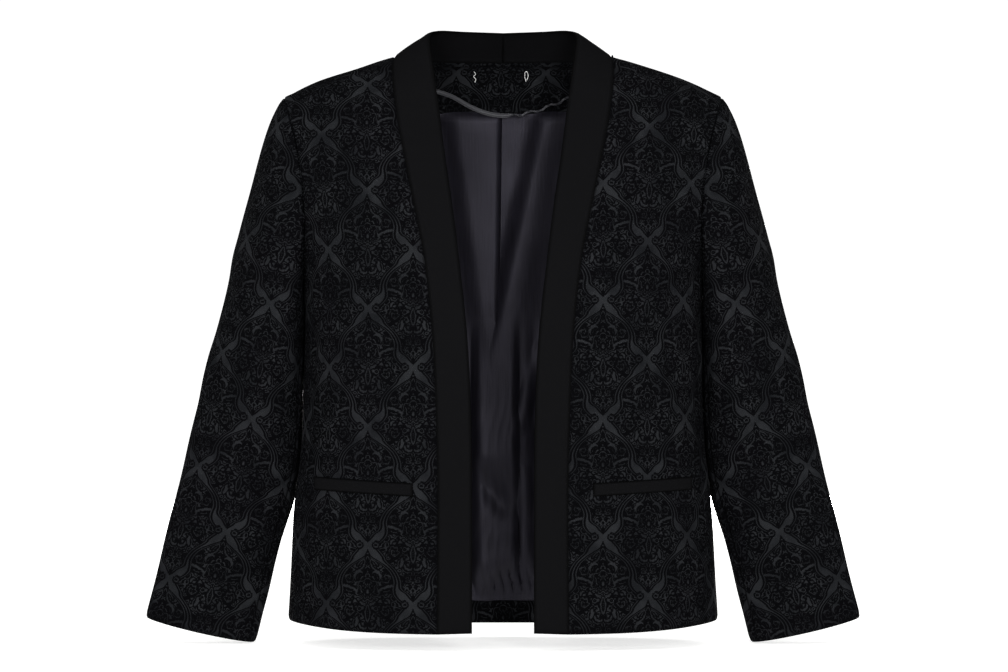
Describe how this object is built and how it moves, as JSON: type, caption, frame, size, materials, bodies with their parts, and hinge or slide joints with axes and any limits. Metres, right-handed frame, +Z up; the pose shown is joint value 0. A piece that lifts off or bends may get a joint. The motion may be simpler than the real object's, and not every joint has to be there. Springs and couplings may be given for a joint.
{
  "type": "open-front blazer",
  "caption": "Cropped open-front evening blazer in flocked damask, hollow as worn, with a plain neck and front band, welt pockets and long sleeves.",
  "frame": {"origin": "on the shoulder line, midway between the two points where the shoulder seams meet the neck band", "axes": "+X to the wearer's left, -Y out of the front, +Z up"},
  "size_m": [0.717, 0.2304, 0.6167],
  "materials": {
    "damask": "black flocked velvet figure on a dark slate satin ground",
    "band_crepe": "matt black fine plain weave",
    "lining_satin": "dark violet-grey satin, soft sheen",
    "ribbon": "black satin ribbon"
  },
  "bodies": {
    "root": {"front_left": "damask", "front_right": "damask", "back": "damask", "top_sleeve_left": "damask", "top_sleeve_right": "damask", "under_sleeve_left": "damask", "under_sleeve_right": "damask", "band_left": "band_crepe", "band_right": "band_crepe", "pocket_welt_left": "band_crepe", "pocket_welt_right": "band_crepe", "back_facing": "damask", "back_lining": "lining_satin", "back_hem_turn_up": "damask", "hanger_loop": "ribbon"}
  },
  "joints": []
}
